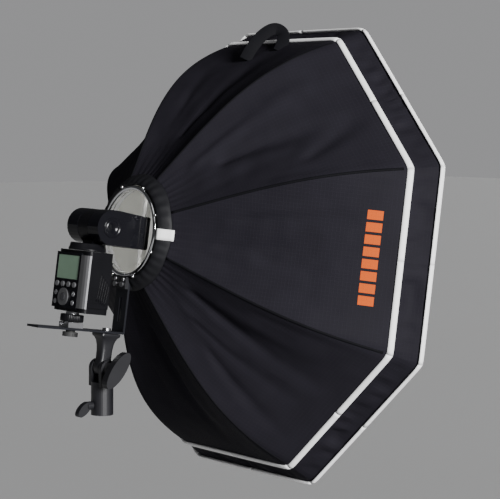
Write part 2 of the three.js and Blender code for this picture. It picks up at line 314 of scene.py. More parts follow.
@dataclass(frozen=True)
class Cloth:
    """Woven cloth with a thread grid, a rip-stop line every few threads and soft colour clouds."""

    name: str
    colour: Colour
    worn: Colour
    rough: float
    pitch: float
    line: float = 0.0
    sheen: float = 0.0
    metal: float = 0.0
    shine: float = 0.5
    print_band: tuple[float, float, float] | None = None
    print_reach: float = 0.0664
    print_colour: Colour = (0.50, 0.085, 0.014)
    line_share: float = 0.16
    relief: float = 0.00018
    glow: float = 0.0

    def material(self) -> bpy.types.Material:
        """Build the node material."""
        bench = Bench(self.name)
        across, along = bench.cloth()
        turns = 2 * math.pi / self.pitch
        weave = (across * turns).sine() * (along * turns).sine() * 0.5 + 0.5
        cloud = bench.grain(22.0, 3.0)
        height, share = weave * 0.35, cloud
        if self.line:
            lines = [(place * (1 / self.line)).fraction() < self.line_share for place in (across, along)]
            grid = lines[0] + lines[1]
            height = height + grid * 0.5
            share = cloud * 0.8 + grid * 0.25
        colour = bench.blend(share, self.colour, self.worn)
        if self.print_band:
            low, high, dash = self.print_band
            band = (along > low) * (along < high)
            beads = (abs((across * (1 / dash)).fraction() - 0.5)) < 0.38
            reach = abs(across) < self.print_reach
            colour = bench.blend(band * beads * reach, colour, self.print_colour)
        if self.glow:
            bench.let_through(self.glow, self.colour)
        return bench.finish(
            Base_Color=colour, Metallic=self.metal, Specular_IOR_Level=self.shine,
            Roughness=cloud * 0.12 + (self.rough - 0.06), Sheen_Weight=self.sheen, Sheen_Roughness=0.4,
            Normal=bench.bump(height, self.relief, 0.7))


@dataclass(frozen=True)
class Metal:
    """Plated, brushed, painted or anodised metal."""

    name: str
    colour: Colour
    rough: float
    metal: float = 1.0
    grain: float = 900.0
    depth: float = 0.00002
    smudge: float = 0.08
    coat: float = 0.0

    def material(self) -> bpy.types.Material:
        """Build the node material."""
        bench = Bench(self.name)
        wipe = bench.grain(35.0, 3.0)
        dust = bench.grain(self.grain, 1.0)
        dim = tuple(0.82 * tone for tone in self.colour)
        return bench.finish(
            Base_Color=bench.blend(wipe, dim, self.colour), Metallic=self.metal, Coat_Weight=self.coat,
            Roughness=wipe * self.smudge + dust * 0.05 + self.rough,
            Normal=bench.bump(dust, self.depth, 0.6))


@dataclass(frozen=True)
class Moulded:
    """Moulded plastic or rubber with a spark-eroded grain and rubbed patches."""

    name: str
    colour: Colour
    rough: float
    grain: float = 1400.0
    depth: float = 0.00006
    coat: float = 0.0
    clear: float = 1.0
    shine: float = 0.5

    def material(self) -> bpy.types.Material:
        """Build the node material."""
        bench = Bench(self.name)
        rub = bench.grain(28.0, 3.0)
        pits = bench.grain(self.grain, 2.0)
        light = tuple(min(1.0, 1.5 * tone + 0.004) for tone in self.colour)
        return bench.finish(
            Base_Color=bench.blend(rub * 0.5, self.colour, light), Coat_Weight=self.coat, Alpha=self.clear,
            Specular_IOR_Level=self.shine,
            Roughness=rub * 0.14 + (self.rough - 0.05), Normal=bench.bump(pits, self.depth, 0.8))


@dataclass(frozen=True)
class Finishes:
    """Every finish on the softbox, built once."""

    made: dict[str, bpy.types.Material] = field(default_factory=dict)

    def get(self, finish: Cloth | Metal | Moulded) -> bpy.types.Material:
        """The material of a finish, built on first use.

        Args:
            finish: the finish.

        Returns:
            Its material.
        """
        if finish.name not in self.made:
            self.made[finish.name] = finish.material()
        return self.made[finish.name]


RIPSTOP = Cloth("ripstop_black", (0.0110, 0.0102, 0.0135), (0.0175, 0.0163, 0.0215), 0.55, 0.0011, 0.0052,
                shine=0.02)
MARKED = Cloth("ripstop_marked", RIPSTOP.colour, RIPSTOP.worn, 0.55, 0.0011, 0.0052, shine=0.02,
               print_band=(0.3070, 0.3255, 0.0166))
SILVER = Cloth("lining_silver", (0.78, 0.78, 0.74), (0.88, 0.88, 0.84), 0.42, 0.0016, metal=0.6)
WHITE_TAPE = Cloth("tape_white", (0.90, 0.90, 0.90), (0.97, 0.97, 0.97), 0.6, 0.0012, sheen=0.3)
FRONT_CLOTH = Cloth("cloth_white", (0.78, 0.78, 0.77), (0.88, 0.88, 0.87), 0.8, 0.0009, sheen=0.2,
                    glow=0.72)
WEBBING = Cloth("webbing_black", (0.0035, 0.0035, 0.0045), (0.008, 0.008, 0.0095), 0.7, 0.0026, shine=0.04)
ELASTIC = Cloth("elastic_black", (0.005, 0.005, 0.0065), (0.010, 0.010, 0.012), 0.6, 0.0020, shine=0.2)
CHROME = Metal("chrome_polished", (0.86, 0.86, 0.88), 0.05, smudge=0.05, depth=0.000004)
STEEL = Metal("steel_plated", (0.50, 0.50, 0.52), 0.24)
SPRING = Metal("steel_spring", (0.33, 0.33, 0.35), 0.32)
ANODISED = Metal("aluminium_black", (0.035, 0.036, 0.044), 0.30, 0.85, 1500.0, 0.00003)
CASTING = Metal("paint_dark", (0.010, 0.010, 0.0125), 0.36, 0.1, 700.0, 0.00008, coat=0.1)
SILVER_PAINT = Metal("paint_silver", (0.26, 0.26, 0.27), 0.26, 0.8)
PLASTIC = Moulded("plastic_black", (0.0036, 0.0036, 0.0046), 0.28, shine=0.14)
SATIN = Moulded("plastic_satin", (0.0036, 0.0036, 0.0052), 0.2, 1800.0, 0.00001, 0.05, shine=0.16)
RUBBER = Moulded("rubber_grey", (0.032, 0.032, 0.036), 0.55)
SCREEN = Moulded("screen_green", (0.17, 0.25, 0.185), 0.12, 60.0, 0.000005, 0.4)
KEY = Metal("key_silver", (0.20, 0.20, 0.21), 0.3, 0.5)
CLEAR = Moulded("plastic_clear", (0.72, 0.75, 0.77), 0.12, 500.0, 0.00002, 0.3, 0.42)
WRAP = Moulded("cell_wrap", (0.07, 0.11, 0.16), 0.3, 200.0, 0.00002, 0.3)


# ---------------------------------------------------------------- places and meshes


@dataclass(frozen=True)
class HeadFrame:
    """The tilted head's own axes: X along the light, Z up, from the middle of the speed ring."""

    ring_middle: float = 1.5 * MM

    def matrix(self) -> Matrix:
        """The head's axes in the row frame, from the frame's joint axis and ring."""
        slide = next(j for j in frame["joints"] if j["name"] == "diffuser_off")
        ahead = Vector(slide["axis"]).normalized()
        low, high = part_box("hub_ring")
        centre = (Vector(low) + Vector(high)) / 2 - ahead * self.ring_middle
        tilt = math.atan2(-ahead.z, ahead.x)
        return Matrix.Translation(centre) @ Matrix.Rotation(tilt, 4, "Y")


HEAD = HeadFrame().matrix()


def spot(ahead: float, left: float, up: float) -> Vector:
    """A point given in the head's axes, in millimetres.

    Args:
        ahead: along the light.
        left: to the left.
        up: upwards.

    Returns:
        The point in the row frame, in metres.
    """
    return HEAD @ Vector((ahead * MM, left * MM, up * MM))


def beside_rib(rib: int, ahead: float, out: float, left: float) -> Vector:
    """A point given from one rib's own line.

    Args:
        rib: the rib's number, from 1.
        ahead: along the light, in millimetres.
        out: outwards from the light's axis, in the rib's plane.
        left: sideways, out of the rib's plane.

    Returns:
        The point in the row frame.
    """
    angle = (2 * rib - 1) * HALF_STEP
    return spot(ahead, -out * math.sin(angle) + left * math.cos(angle),
                out * math.cos(angle) + left * math.sin(angle))


def upright_axis(ahead: float) -> Placer:
    """An upright axis on the head's middle plane.

    Args:
        ahead: the axis's place along the light, in millimetres.

    Returns:
        What turns (along, across, side) on that axis into a point.
    """

    def place(along: float, across: float, side: float) -> Vector:
        """A point round the axis."""
        return spot(ahead + across, side, along)

    return place


def level_axis(left: float, up: float) -> Placer:
    """An axis that runs along the light.

    Args:
        left: the axis's place to the left, in millimetres.
        up: its height.

    Returns:
        What turns (along, across, high) on that axis into a point.
    """

    def place(along: float, across: float, high: float) -> Vector:
        """A point round the axis."""
        return spot(along, left + across, up + high)

    return place


def new_piece(name: str, points: Sequence[Vector], faces: Iterable[Sequence[int]],
              looks: Sequence[bpy.types.Material], look_of: Sequence[int] | None = None,
              cloth: Sequence[Point] | None = None, smooth: bool = True) -> bpy.types.Object:
    """Make one mesh object at the frame's origin.

    Args:
        name: the piece's name.
        points: corners in the row frame.
        faces: corner indices.
        looks: materials.
        look_of: the material index of each face.
        cloth: the place of each corner on its cloth, in metres.
        smooth: whether faces are shaded smooth.

    Returns:
        The object.
    """
    mesh = bpy.data.meshes.new(name)
    mesh.from_pydata([tuple(p) for p in points], [], [tuple(f) for f in faces])
    mesh.polygons.foreach_set("use_smooth", [smooth] * len(mesh.polygons))
    if look_of is not None:
        mesh.polygons.foreach_set("material_index", list(look_of))
    if cloth is not None:
        layer = mesh.attributes.new("cloth", "FLOAT_VECTOR", "POINT")
        layer.data.foreach_set("vector", [value for x, y in cloth for value in (x, y, 0.0)])
    mesh.update()
    piece = bpy.data.objects.new(name, mesh)
    bpy.context.scene.collection.objects.link(piece)
    for look in looks:
        mesh.materials.append(look)
    return piece


def grid_faces(rows: int, columns: int, wrap: bool = False) -> list[tuple[int, int, int, int]]:
    """The quads of a grid of points.

    Args:
        rows: point rows.
        columns: points in a row.
        wrap: whether each row closes on itself.

    Returns:
        The faces.
    """
    last = columns if wrap else columns - 1
    return [(i * columns + j, i * columns + (j + 1) % columns, (i + 1) * columns + (j + 1) % columns,
             (i + 1) * columns + j) for i in range(rows - 1) for j in range(last)]


def face_out(piece: bpy.types.Object) -> None:
    """Turn a closed mesh's faces outwards."""
    work = bmesh.new()
    work.from_mesh(piece.data)
    bmesh.ops.recalc_face_normals(work, faces=work.faces)
    work.to_mesh(piece.data)
    work.free()


def crisp_border(piece: bpy.types.Object, outer: int) -> None:
    """Keep the shading of two skins apart from the narrow border that joins them.

    Args:
        piece: a closed sheet.
        outer: the number of corners in its outer skin, which come first.
    """
    work = bmesh.new()
    work.from_mesh(piece.data)
    work.verts.ensure_lookup_table()
    for edge in work.edges:
        ends = [len({vert.index < outer for vert in face.verts}) for face in edge.link_faces]
        if sorted(ends) == [1, 2]:
            edge.smooth = False
    work.to_mesh(piece.data)
    work.free()


def sweep(name: str, rings: Sequence[Sequence[Vector]], look: bpy.types.Material,
          cloth: Sequence[Point] | None = None, closed: bool = False) -> bpy.types.Object:
    """Skin a row of rings into one closed body.

    Args:
        name: the piece's name.
        rings: rings of points, all of one length.
        look: the material.
        cloth: the place of each corner on its cloth.
        closed: whether the last ring joins the first.

    Returns:
        The object.
    """
    count, sides = len(rings), len(rings[0])
    points = [p for ring in rings for p in ring]
    faces: list[Sequence[int]] = list(grid_faces(count, sides, wrap=True))
    if closed:
        base = (count - 1) * sides
        faces += [(base + j, base + (j + 1) % sides, (j + 1) % sides, j) for j in range(sides)]
    else:
        faces += [tuple(reversed(range(sides))), tuple((count - 1) * sides + j for j in range(sides))]
    piece = new_piece(name, points, faces, [look], cloth=cloth)
    face_out(piece)
    return piece


def turned(name: str, profile: Sequence[Point], look: bpy.types.Material, place: Placer,
           sides: int = 128) -> bpy.types.Object:
    """Turn a closed profile about an axis.

    Args:
        name: the piece's name.
        profile: (radius, along) points in millimetres, closing on themselves.
        look: the material.
        place: turns (along, across, up) into a point.
        sides: steps round the axis.

    Returns:
        The object.
    """
    rings = []
    for step in range(sides):
        angle = 2 * math.pi * step / sides
        rings.append([place(along, radius * math.sin(angle), radius * math.cos(angle))
                      for radius, along in profile])
    return sweep(name, rings, look, closed=True)


def knurled(name: str, look: bpy.types.Material, place: Placer, radius: float, hole: float, low: float,
            high: float, teeth: int, depth: float = 0.55) -> bpy.types.Object:
    """A hand wheel with rounded edges and a knurled rim.

    Args:
        name: the piece's name.
        look: the material.
        place: turns (along, across, up) into a point.
        radius: the rim's radius, in millimetres.
        hole: the bore's radius.
        low: where it starts along its axis.
        high: where it ends.
        teeth: ridges round the rim.
        depth: the ridges' depth.

    Returns:
        The object.
    """
    sides, edge = teeth * 6, min(1.2, (high - low) / 5)
    rings = []
    for step in range(sides):
        angle = 2 * math.pi * step / sides
        dip = depth * (0.5 - 0.5 * math.cos(angle * teeth)) ** 2
        shoulder = radius - edge * 0.4 - dip * 0.4
        profile = [(hole, low), (radius - edge - 0.6, low), (shoulder, low + edge * 0.3),
                   (radius - dip, low + edge), (radius - dip, high - edge), (shoulder, high - edge * 0.3),
                   (radius - edge - 0.6, high), (hole, high)]
        rings.append([place(along, r * math.sin(angle), r * math.cos(angle)) for r, along in profile])
    piece = sweep(name, rings, look, closed=True)
    soften(piece, 0.1, 1, 50)
    return piece


def frame_ring(name: str, look: bpy.types.Material, place: Placer, size: tuple[float, float, float, float],
               corner: float, section: Sequence[Point]) -> bpy.types.Object:
    """A band that runs round a rounded rectangle.

    Args:
        name: the piece's name.
        look: the material.
        place: turns (along, across, up) into a point.
        size: the rectangle's lowest and highest across, then up, in millimetres.
        corner: the corner radius.
        section: (outwards, along) points of the band's cross-section.

    Returns:
        The object.
    """
    left, right, low, high = size
    centres = [(right - corner, high - corner, 0), (left + corner, high - corner, 1),
               (left + corner, low + corner, 2), (right - corner, low + corner, 3)]
    rings = []
    for x, y, quarter in centres:
        for step in range(7):
            angle = (quarter + step / 6) * math.pi / 2
            rings.append([place(along, x + (corner + out) * math.cos(angle),
                                y + (corner + out) * math.sin(angle)) for out, along in section])
    return sweep(name, rings, look, closed=True)


def bar(name: str, look: bpy.types.Material, place: Placer, start: Point, end: Point, width: float,
        low: float, high: float) -> bpy.types.Object:
    """A rounded rib that stands on a face.

    Args:
        name: the piece's name.
        look: the material.
        place: turns (along, across, up) into a point.
        start: one end, as (across, up).
        end: the other end.
        width: its width.
        low: the height that it starts from.
        high: the height of its crest.

    Returns:
        The object.
    """
    a, b = Vector(start), Vector(end)
    run = (b - a).normalized()
    side = Vector((-run.y, run.x))
    rings = []
    count = 9
    for step in range(count):
        share = step / (count - 1)
        swell = math.sin(math.pi * min(1.0, 0.12 + share * 0.76)) ** 0.3
        middle = a.lerp(b, share)
        rings.append([place(low + (high - low) * swell * math.sin(turn),
                            *(middle + side * (width / 2 * swell * math.cos(turn))))
                      for turn in (math.pi * i / 8 for i in range(9))])
    return sweep(name, rings, look)


def soften(piece: bpy.types.Object, width: float, steps: int = 3, angle: float = 32.0) -> None:
    """Round a piece's edges and shade its curved faces smooth, with modifiers only.

    Args:
        piece: a piece or a carried-over node.
        width: the rounding, in millimetres.
        steps: segments of the rounding.
        angle: edges sharper than this, in degrees, are rounded.
    """
    bevel = piece.modifiers.new("edges", "BEVEL")
    bevel.width, bevel.segments = width * MM, steps
    bevel.limit_method, bevel.angle_limit = "ANGLE", math.radians(angle)
    bevel.use_clamp_overlap = True
    bevel.harden_normals = False
    shade = piece.modifiers.new("shading", "NODES")
    shade.node_group = smooth_group()


def smooth_group() -> bpy.types.NodeTree:
    """The geometry nodes that shade faces smooth except across sharp edges."""
    found = bpy.data.node_groups.get("smooth_curves")
    if found:
        return found
    group = bpy.data.node_groups.new("smooth_curves", "GeometryNodeTree")
    group.interface.new_socket("Geometry", in_out="INPUT", socket_type="NodeSocketGeometry")
    group.interface.new_socket("Geometry", in_out="OUTPUT", socket_type="NodeSocketGeometry")
    start = group.nodes.new("NodeGroupInput")
    angle = group.nodes.new("GeometryNodeInputMeshEdgeAngle")
    limit = group.nodes.new("FunctionNodeCompare")
    limit.data_type, limit.operation = "FLOAT", "LESS_THAN"
    limit.inputs[1].default_value = math.radians(38)
    faces = group.nodes.new("GeometryNodeSetShadeSmooth")
    edges = group.nodes.new("GeometryNodeSetShadeSmooth")
    edges.domain = "EDGE"
    end = group.nodes.new("NodeGroupOutput")
    link = group.links.new
    link(start.outputs[0], faces.inputs[0])
    link(faces.outputs[0], edges.inputs[0])
    link(angle.outputs[0], limit.inputs[0])
    link(limit.outputs[0], edges.inputs[2])
    link(edges.outputs[0], end.inputs[0])
    return group


def dress(node: str, look: bpy.types.Material, width: float = 0.4) -> None:
    """Give a carried-over node its finish and rounded edges.

    Args:
        node: the node's name.
        look: the material.
        width: the rounding, in millimetres.
    """
    piece = bpy.data.objects[node]
    slots = piece.data.materials
    if slots:
        for index in range(len(slots)):
            slots[index] = look
    else:
        slots.append(look)
    if width:
        soften(piece, width)
    LOG.info("dressed %s", node)


def settle(piece: bpy.types.Object, body: str, slot: str, *nodes: str) -> bpy.types.Object:
    """Ride a piece on a body and hide the nodes that it stands for.

    Args:
        piece: the piece.
        body: the frame body it moves with.
        slot: the record's material slot; not used.
        nodes: nodes that it replaces.

    Returns:
        The piece.
    """
    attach(piece, body)
    if nodes:
        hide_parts(*nodes)
    LOG.info("piece %s rides on %s", piece.name, body)
    return piece


# ---------------------------------------------------------------- canopy


@dataclass(frozen=True)
class RibLine:
    """The line of a rib as (radius, ahead) in millimetres: a bow to the rim, then straight on."""

    ends: tuple[Point, Point, Point, Point] = ((69, 3), (163.5, 56.3), (264.1, 88.5), (330, 229.5))
    lip: Point = (352, 267.6)
    rim_at: float = 0.88

    def at(self, s: float) -> Vector:
        """The point at station s, from 0 at the ring to 1 at the lip."""
        if s > self.rim_at:
            return Vector(self.ends[3]).lerp(Vector(self.lip), (s - self.rim_at) / (1 - self.rim_at))
        t = s / self.rim_at
        weights = ((1 - t) ** 3, 3 * (1 - t) ** 2 * t, 3 * (1 - t) * t * t, t ** 3)
        return sum((Vector(end) * weight for end, weight in zip(self.ends, weights)), Vector((0.0, 0.0)))

    def inward(self, s: float) -> Vector:
        """The unit normal that points into the canopy."""
        step = 0.004
        along = (self.at(min(s + step, 1.0)) - self.at(max(s - step, 0.0))).normalized()
        return Vector((-along.y, along.x))

    def length_to(self, s: float, steps: int = 40) -> float:
        """The length of the line up to station s, in millimetres."""
        marks = [self.at(s * i / steps) for i in range(steps + 1)]
        return sum((b - a).length for a, b in zip(marks, marks[1:]))


@dataclass(frozen=True)
class Crease:
    """A soft fold in one gore, from one (station, share across) to another; sizes in millimetres."""

    gore: int
    start: Point
    end: Point
    width: float
    depth: float

    def depth_at(self, s: float, share: float, length: float, across: float) -> float:
        """The fold's depth at a place.

        Args:
            s: the station.
            share: the share across the gore.
            length: the rib's length, in millimetres.
            across: the gore's width at this station, in millimetres.

        Returns:
            The depth, in millimetres.
        """
        a = Vector((self.start[0] * length, (self.start[1] - share) * across))
        b = Vector((self.end[0] * length, (self.end[1] - share) * across))
        here = Vector((s * length, 0.0))
        run = b - a
        t = max(0.0, min(1.0, (here - a).dot(run) / max(run.length_squared, 1e-9)))
        gap = (a + run * t - here).length / (self.width * (0.5 + t))
        fade = math.sin(math.pi * min(1.0, 0.15 + 0.85 * t)) ** 0.5
        return 1.5 * self.depth * math.exp(-gap * gap) * fade


def smooth_step(value: float) -> float:
    """Ease a value between 0 and 1."""
    value = max(0.0, min(1.0, value))
    return value * value * (3 - 2 * value)


@dataclass
class Canopy:
    """The eight-sided folding canopy: ribs, half gores, rim tapes, seams, front, strap and tag."""

    finishes: Finishes
    line: RibLine = field(default_factory=RibLine)
    first: float = 0.035
    sag: float = 12.0
    skin: float = 1.1
    rows_bowl: int = 44
    rows_lip: int = 13
    columns: int = 22
    tape_sides: int = 12
    tape_half_wide: float = 4.3
    tape_half_high: float = 2.7
    front_half: float = 303.0
    front_corner: float = 318.0
    front_rings: int = 26
    front_sides: int = 128
    creases: list[Crease] = field(default_factory=list)

    def __post_init__(self) -> None:
        """Choose the folds: some listed, the rest from a fixed seed."""
        self.length = self.line.length_to(1.0)
        self.creases += [
            Crease(1, (0.30, 0.45), (0.80, 0.62), 16, 5.0), Crease(1, (0.60, 0.80), (0.86, 0.55), 13, 5.5),
            Crease(1, (0.20, 0.30), (0.75, 0.22), 10, -2.2), Crease(1, (0.45, 0.90), (0.87, 0.97), 7, 2.0),
            Crease(2, (0.70, 0.03), (0.88, 0.12), 3.2, 1.9),
            Crease(2, (0.25, 0.05), (0.85, 0.03), 5.0, 1.2),
            Crease(2, (0.40, 0.60), (0.80, 0.70), 14, 1.6), Crease(3, (0.20, 0.35), (0.86, 0.40), 12, 3.5),
            Crease(3, (0.45, 0.10), (0.87, 0.05), 6, 2.0), Crease(3, (0.40, 0.75), (0.87, 0.85), 9, 2.8),
            Crease(4, (0.25, 0.50), (0.80, 0.35), 12, 3.0), Crease(8, (0.30, 0.55), (0.84, 0.60), 14, 3.0)]
        dice = random.Random(41)
        for gore in range(1, RIBS + 1):
            for _ in range(5):
                lean = dice.uniform(0.1, 0.9)
                begin = (dice.uniform(0.12, 0.5), lean + dice.uniform(-0.08, 0.08))
                end = (dice.uniform(0.62, 0.87), lean + dice.uniform(-0.15, 0.15))
                self.creases.append(Crease(gore, begin, end, dice.uniform(5, 12), dice.uniform(-1.2, 1.8)))

    def stations(self) -> list[float]:
        """The stations of the cloth's rows, closer together in the lip."""
        rim = self.line.rim_at
        bowl = [self.first + (rim - self.first) * i / (self.rows_bowl - 1) for i in range(self.rows_bowl)]
        return bowl + [rim + (1 - rim) * i / self.rows_lip for i in range(1, self.rows_lip + 1)]

    def depth(self, rib: int, side: Side, s: float, v: float) -> float:
        """How far the cloth lies inside the straight line between its ribs, in millimetres.

        Args:
            rib: the rib's number, from 1.
            side: the side of the rib.
            s: the station.
            v: 0 at the rib, 1 at the gore's middle.

        Returns:
            The depth.
        """
        rim = self.line.rim_at
        gore = rib if side is Side.AFTER else (rib - 2) % RIBS + 1
        share = v / 2 if side is Side.AFTER else 1 - v / 2
        width = 2 * self.line.at(s).x * math.sin(HALF_STEP)
        body = math.sin(math.pi * min(s / rim, 1.0)) ** 0.8
        depth = self.sag * body * v * (2 - v)
        round_off = 5 + 25 * smooth_step((s - 0.55) / 0.35)
        reach = round_off * math.tan(HALF_STEP)
        depth += max(0.0, reach - v * width / 2) ** 2 / (2 * round_off)
        window = math.sin(math.pi * share) ** 0.6
        if s < rim:
            hold = math.sin(math.pi * min(1.0, s / rim)) ** 0.5
            for crease in self.creases:
                if crease.gore == gore:
                    depth += crease.depth_at(s, share, self.length, width) * hold * window
            place = Vector((share * width, s * self.length, gore * 37.0))
            depth += (noise.noise(place / 34) * 1.5 + noise.noise(place / 12) * 0.5) * window * hold
            depth += math.sin(share * 46 + gore) * 0.7 * math.exp(-s * 9) * window
        else:
            t = (s - rim) / (1 - rim)
            ruck = noise.noise(Vector((share * width / 9, t * 1.1, gore * 5.1)))
            wave = noise.noise(Vector((share * width / 24 + 7, t * 0.8, gore * 3.3)))
            swell = max(0.0, math.sin(math.pi * t)) ** 1.3
            depth += (5.4 * ruck + 3.4 * wave + 2.4) * swell * window
        return depth

    def point(self, rib: int, side: Side, s: float, v: float, inward: float) -> Vector:
        """A point on or near the cloth.

        Args:
            rib: the rib's number, from 1.
            side: the side of the rib.
            s: the station.
            v: 0 at the rib, 1 at the gore's middle.
            inward: the distance into the canopy from the straight line between ribs.

        Returns:
            The point in the row frame.
        """
        radius, ahead = self.line.at(s)
        normal = self.line.inward(s)
        edge = radius * math.sin(HALF_STEP) * v
        across, height = edge * math.cos(HALF_STEP), radius - edge * math.sin(HALF_STEP)
        angle = math.atan2(across, height) * side.value + (2 * rib - 1) * HALF_STEP
        out = math.hypot(across, height) + normal.x * inward
        return spot(ahead + normal.y * inward, -out * math.sin(angle), out * math.cos(angle))

    def join_to_rib(self, piece: bpy.types.Object, rib: int, side: Side, shares: Sequence[float]) -> None:
        """Bake the cloth's placement into its mesh.

        Args:
            piece: the cloth.
            rib: the rib's number.
            side: the side of the rib.
            shares: each corner's share, 0 at the rib and 1 at the middle; not used.
        """
        start, end = self.point(rib, side, 0.7, 0.0, 0.0), self.point(rib, side, 0.7, 1.0, 0.0)
        tuple(start)
        tuple(end)
        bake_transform(piece)

    def half_gore(self, rib: int, side: Side) -> bpy.types.Object:
        """One half gore with its silver lining.

        Args:
            rib: the rib's number, from 1.
            side: the side of the rib.

        Returns:
            The cloth.
        """
        rows, marks = self.stations(), [j / (self.columns - 1) for j in range(self.columns)]
        outer, inner, cloth, shares = [], [], [], []
        for s in rows:
            for v in marks:
                depth = self.depth(rib, side, s, v)
                outer.append(self.point(rib, side, s, v, depth - self.skin / 2))
                inner.append(self.point(rib, side, s, v, depth + self.skin / 2))
                width = self.line.at(s).x * math.sin(HALF_STEP)
                cloth.append(((v - 1) * width * side.value * MM, s * self.length * MM))
                shares.append(v)
        count, columns = len(outer), self.columns
        quads = grid_faces(len(rows), columns)
        faces = quads + [tuple(count + i for i in reversed(quad)) for quad in quads]
        looks = [0] * len(quads) + [1 if rows[i // (columns - 1)] < 0.9 else 0 for i in range(len(quads))]
        border = [i * columns for i in range(len(rows))]
        border += [(len(rows) - 1) * columns + j for j in range(1, columns)]
        border += [i * columns + columns - 1 for i in reversed(range(len(rows) - 1))]
        border += list(reversed(range(1, columns - 1)))
        for a, b in zip(border, border[1:] + border[:1]):
            faces.append((a, b, count + b, count + a))
            looks.append(0)
        marked = (rib, side) in ((2, Side.AFTER), (3, Side.BEFORE))
        black = self.finishes.get(MARKED if marked else RIPSTOP)
        piece = new_piece(f"half_gore_{rib}_{side.word}", outer + inner, faces,
                          [black, self.finishes.get(SILVER)], looks, cloth * 2)
        face_out(piece)
        crisp_border(piece, count)
        self.join_to_rib(piece, rib, side, shares * 2)
        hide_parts(f"gore_{rib}_{side.word}")
        self.cut_area()
        return piece

    def cut_area(self) -> float:
        """The flat area of one half gore, in square metres."""
        steps = 60
        marks = [self.first + (1 - self.first) * i / steps for i in range(steps + 1)]
        spans = zip(marks, marks[1:])
        return sum((self.line.at(b) - self.line.at(a)).length * self.line.at((a + b) / 2).x
                   * math.sin(HALF_STEP) for a, b in spans) * MM * MM

    def rim_tape(self, rib: int, side: Side, s: float, label: str) -> bpy.types.Object:
        """One white rim tape along a half gore.

        Args:
            rib: the rib's number.
            side: the side of the rib.
            s: the station it is sewn at.
            label: the rim's word, for the name.

        Returns:
            The tape.
        """
        rings, cloth, shares = [], [], []
        sides, half_wide = self.tape_sides, self.tape_half_wide
        for j in range(self.columns):
            v = j / (self.columns - 1)
            depth = self.depth(rib, side, min(s, self.line.rim_at), v)
            ring = []
            for i in range(sides):
                turn = 2 * math.pi * i / sides
                shift = half_wide * math.cos(turn) / self.length
                lift = depth - 1.4 - self.tape_half_high * math.sin(turn)
                if s < 1:
                    ring.append(self.point(rib, side, min(s + shift, 1.0), v, lift))
                else:
                    past_lip = HEAD.to_3x3() @ Vector((half_wide * math.cos(turn) * MM, 0, 0))
                    ring.append(self.point(rib, side, 1.0, v, lift) + past_lip)
                width = self.line.at(s).x * math.sin(HALF_STEP) * v
                cloth.append((width * MM, turn * half_wide * MM))
                shares.append(v)
            rings.append(ring)
        piece = sweep(f"{label}_tape_{rib}_{side.word}", rings, self.finishes.get(WHITE_TAPE), cloth)
        self.join_to_rib(piece, rib, side, shares)
        return piece

    def rib_seam(self, rib: int) -> bpy.types.Object:
        """The raised seam over one rib."""
        rings, cloth = [], []
        rows = [s for s in self.stations() if s < self.line.rim_at - 0.01]
        for s in rows:
            depth = self.depth(rib, Side.AFTER, s, 0.0)
            radius, ahead = self.line.at(s)
            normal = self.line.inward(s)
            ring = []
            for i in range(8):
                turn = 2 * math.pi * i / 8
                lift = depth - 0.4 - 0.9 * math.sin(turn)
                left = 1.9 * math.cos(turn)
                ring.append(beside_rib(rib, ahead + normal.y * lift, radius + normal.x * lift, left))
                cloth.append((left * MM, s * self.length * MM))
            rings.append(ring)
        piece = sweep(f"rib_seam_{rib}", rings, self.finishes.get(WEBBING), cloth)
        return settle(piece, f"rib_{rib}", "webbing")

    def front_edge(self, angle: float) -> float:
        """How far the white front reaches at an angle round the light's axis, in millimetres."""
        off = (angle + HALF_STEP) % (2 * HALF_STEP) - HALF_STEP
        return min(self.front_half / math.cos(off), self.front_corner)

    def front(self) -> bpy.types.Object:
        """The removable white front: taut cloth, a little crowned."""
        rings_count, sides = self.front_rings, self.front_sides
        points, cloth = [], []
        for skin in (0.0, 1.2):
            for i in range(rings_count + 1):
                for j in range(sides):
                    angle = 2 * math.pi * j / sides
                    radius = self.front_edge(angle) * i / rings_count
                    crown = 6.0 * (1 - (i / rings_count) ** 2)
                    here = Vector((radius * math.cos(angle), radius * math.sin(angle), 3.0))
                    ripple = noise.noise(here / 60)
                    ahead = 235.6 + skin + crown + ripple * 0.8 * (1 - i / rings_count)
                    points.append(spot(ahead, -radius * math.sin(angle), radius * math.cos(angle)))
                    cloth.append((radius * math.sin(angle) * MM, radius * math.cos(angle) * MM))
        count = (rings_count + 1) * sides
        quads = grid_faces(rings_count + 1, sides, wrap=True)
        rim = [(rings_count * sides + j, rings_count * sides + (j + 1) % sides) for j in range(sides)]
        faces: list[Sequence[int]] = list(quads) + [tuple(count + i for i in reversed(q)) for q in quads]
        faces += [(a, b, count + b, count + a) for a, b in rim]
        piece = new_piece("front_cloth", points, faces, [self.finishes.get(FRONT_CLOTH)], cloth=cloth)
        work = bmesh.new()
        work.from_mesh(piece.data)
        bmesh.ops.remove_doubles(work, verts=work.verts, dist=1e-5)
        bmesh.ops.recalc_face_normals(work, faces=work.faces)
        work.to_mesh(piece.data)
        work.free()
        settle(piece, "diffuser", "diffuser", "diffuser")
        return piece

    def front_hem(self) -> bpy.types.Object:
        """The padded hem round the white front."""
        sides, steps = self.front_sides, 10
        rings = []
        for j in range(sides):
            angle = 2 * math.pi * j / sides
            edge = self.front_edge(angle)
            rings.append([spot(236.4 + 1.7 * math.cos(t), -(edge - 5 + 6.5 * math.sin(t)) * math.sin(angle),
                               (edge - 5 + 6.5 * math.sin(t)) * math.cos(angle))
                          for t in (2 * math.pi * i / steps for i in range(steps))])
        cloth = [(0.002 * i, 0.004 * j) for j in range(sides) for i in range(steps)]
        piece = sweep("front_hem", rings, self.finishes.get(WHITE_TAPE), cloth, True)
        return settle(piece, "diffuser", "diffuser")

